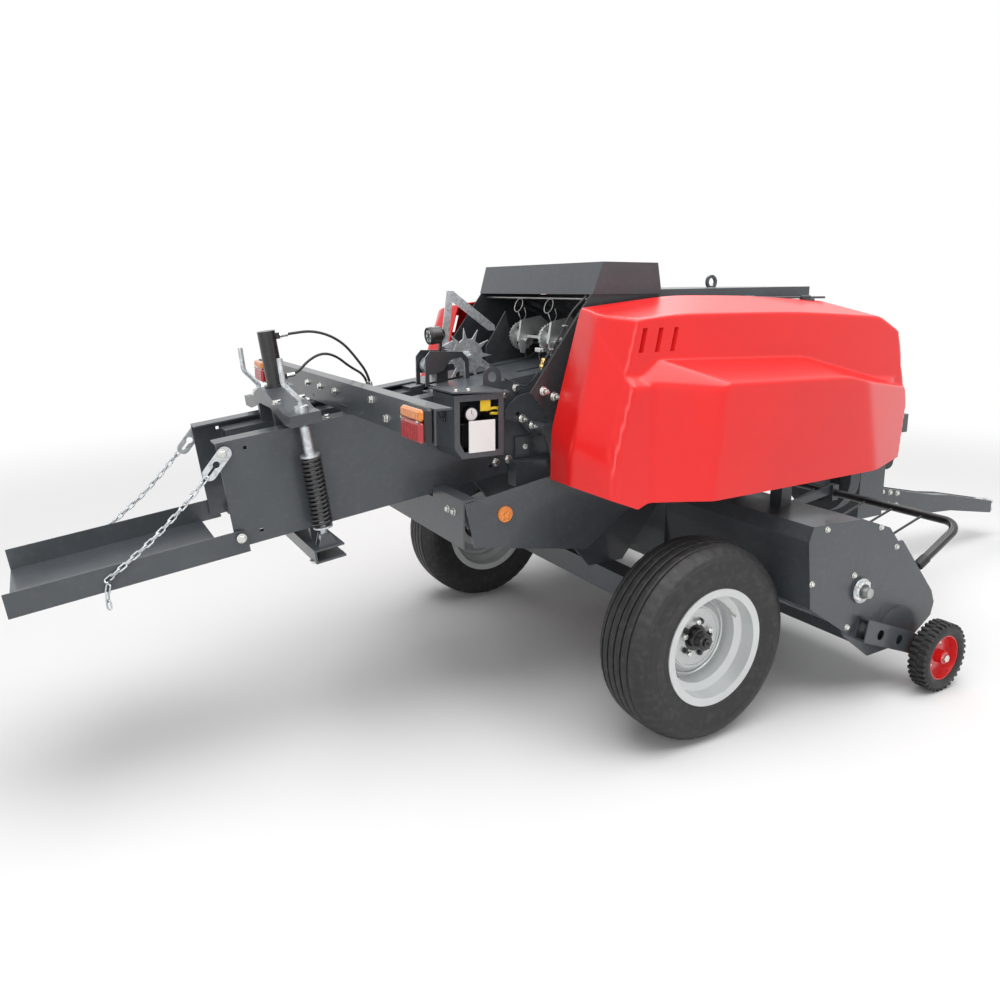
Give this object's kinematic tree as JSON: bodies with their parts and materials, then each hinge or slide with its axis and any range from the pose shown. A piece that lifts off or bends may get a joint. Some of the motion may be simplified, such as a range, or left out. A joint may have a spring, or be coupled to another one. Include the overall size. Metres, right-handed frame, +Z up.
{
  "type": "square baler",
  "caption": "Towed farm baler with a tilted bale chamber, rear chute, wide pickup, red side covers and a long hitch drawbar.",
  "frame": {"origin": "on the ground under the middle of the whole machine, which stands on its wheels and parking jack", "axes": "+X forward to the hitch, +Y to the machine's left, +Z up"},
  "size_m": [5.7672, 2.388, 1.778],
  "materials": {
    "grey_paint": "satin",
    "black_paint": "satin",
    "red_paint": "gloss",
    "silver_paint": "satin",
    "galvanised": "matte",
    "bright_steel": "satin",
    "cast_iron": "matte",
    "aluminium": "satin",
    "tyre_rubber": "matte",
    "black_rubber": "satin",
    "black_plastic": "satin",
    "lamp_plastic": "gloss"
  },
  "bodies": {
    "frame": {"auger_housing": "grey_paint", "axle": "grey_paint", "chain_plates": "galvanised", "chamber_deck": "grey_paint", "chamber_floor": "grey_paint", "chamber_side_left": "grey_paint", "chamber_side_right": "grey_paint", "chute_chains": "galvanised", "control_box": "grey_paint", "density_bridge": "grey_paint", "density_cylinder": "black_paint", "density_lower_beam": "grey_paint", "density_rails": "grey_paint", "density_screws": "galvanised", "density_springs": "black_paint", "drawbar": "grey_paint", "feed_duct": "grey_paint", "front_roof": "grey_paint", "gauge_panel": "black_plastic", "gearbox": "cast_iron", "hitch_clevis": "silver_paint", "hose_block": "cast_iron", "hose_lower": "black_rubber", "hose_upper": "black_rubber", "jack_tube": "grey_paint", "knotter_frame": "grey_paint", "knotter_hood": "grey_paint", "knotters": "aluminium", "light_bar": "grey_paint", "main_frame": "grey_paint", "metering_arm": "galvanised", "needle_lifts": "grey_paint", "needle_yoke": "grey_paint", "pto_guard": "black_plastic", "reflectors": "lamp_plastic", "side_frames": "grey_paint", "tail_lamps": "lamp_plastic", "work_lamp": "black_paint"},
    "wheel_right": {"tyre_right": "tyre_rubber", "rim_right": "silver_paint", "hub_right": "black_paint"},
    "wheel_left": {"tyre_left": "tyre_rubber", "rim_left": "silver_paint", "hub_left": "black_paint"},
    "chute": {"chute": "grey_paint"},
    "cover_right": {"cover_right": "red_paint"},
    "cover_left": {"cover_left": "red_paint"},
    "jack_leg": {"jack_leg": "black_paint"},
    "star_wheel": {"star_wheel": "galvanised"},
    "flywheel": {"flywheel": "cast_iron"},
    "cross_auger": {"cross_auger": "bright_steel"},
    "pickup": {"pickup_frame": "grey_paint", "stripper_bands": "galvanised"},
    "pickup_reel": {"pickup_reel": "bright_steel"},
    "gauge_wheel_right": {"gauge_tyre_right": "tyre_rubber", "gauge_rim_right": "red_paint"},
    "gauge_wheel_left": {"gauge_tyre_left": "tyre_rubber", "gauge_rim_left": "red_paint"},
    "windguard": {"windguard": "black_paint"}
  },
  "joints": [
    {"name": "wheel_right_spin", "type": "hinge", "parent": "frame", "child": "wheel_right", "pos_m": [-0.6665, -0.86, 0.38], "axis": [0, 1, 0], "continuous": true},
    {"name": "wheel_left_spin", "type": "hinge", "parent": "frame", "child": "wheel_left", "pos_m": [-0.6665, 0.86, 0.38], "axis": [0, 1, 0], "continuous": true},
    {"name": "chute_fold", "type": "hinge", "parent": "frame", "child": "chute", "pos_m": [-2.17872, 0, 0.84293], "axis": [0, 1, 0], "range_deg": [0, 78], "deforming": ["chute_chains"]},
    {"name": "cover_right_open", "type": "hinge", "parent": "frame", "child": "cover_right", "pos_m": [-0.0665, -0.486, 1.639], "axis": [-1, 0, 0], "range_deg": [0, 70]},
    {"name": "cover_left_open", "type": "hinge", "parent": "frame", "child": "cover_left", "pos_m": [-0.0665, 0.486, 1.639], "axis": [1, 0, 0], "range_deg": [0, 70]},
    {"name": "jack_slide", "type": "slide", "parent": "frame", "child": "jack_leg", "axis": [0, 0, 1], "range_m": [0, 0.22]},
    {"name": "star_wheel_spin", "type": "hinge", "parent": "frame", "child": "star_wheel", "pos_m": [-1.1565, 0.03, 1.4], "axis": [0, 1, 0], "continuous": true},
    {"name": "flywheel_spin", "type": "hinge", "parent": "frame", "child": "flywheel", "pos_m": [1.0935, 0, 0.66], "axis": [1, 0, 0], "continuous": true},
    {"name": "cross_auger_spin", "type": "hinge", "parent": "frame", "child": "cross_auger", "pos_m": [0.0435, 0, 0.49], "axis": [0, 1, 0], "continuous": true},
    {"name": "pickup_lift", "type": "hinge", "parent": "frame", "child": "pickup", "pos_m": [0.0435, 0, 0.49], "axis": [0, -1, 0], "range_deg": [0, 15]},
    {"name": "pickup_reel_spin", "type": "hinge", "parent": "pickup", "child": "pickup_reel", "pos_m": [0.3635, 0, 0.33], "axis": [0, 1, 0], "continuous": true},
    {"name": "gauge_wheel_right_spin", "type": "hinge", "parent": "pickup", "child": "gauge_wheel_right", "pos_m": [0.4635, -1.147, 0.15], "axis": [0, 1, 0], "continuous": true},
    {"name": "gauge_wheel_left_spin", "type": "hinge", "parent": "pickup", "child": "gauge_wheel_left", "pos_m": [0.4635, 1.147, 0.15], "axis": [0, 1, 0], "continuous": true},
    {"name": "windguard_lift", "type": "hinge", "parent": "pickup", "child": "windguard", "pos_m": [0.7935, 0, 0.64], "axis": [0, 1, 0], "range_deg": [0, 35]}
  ]
}
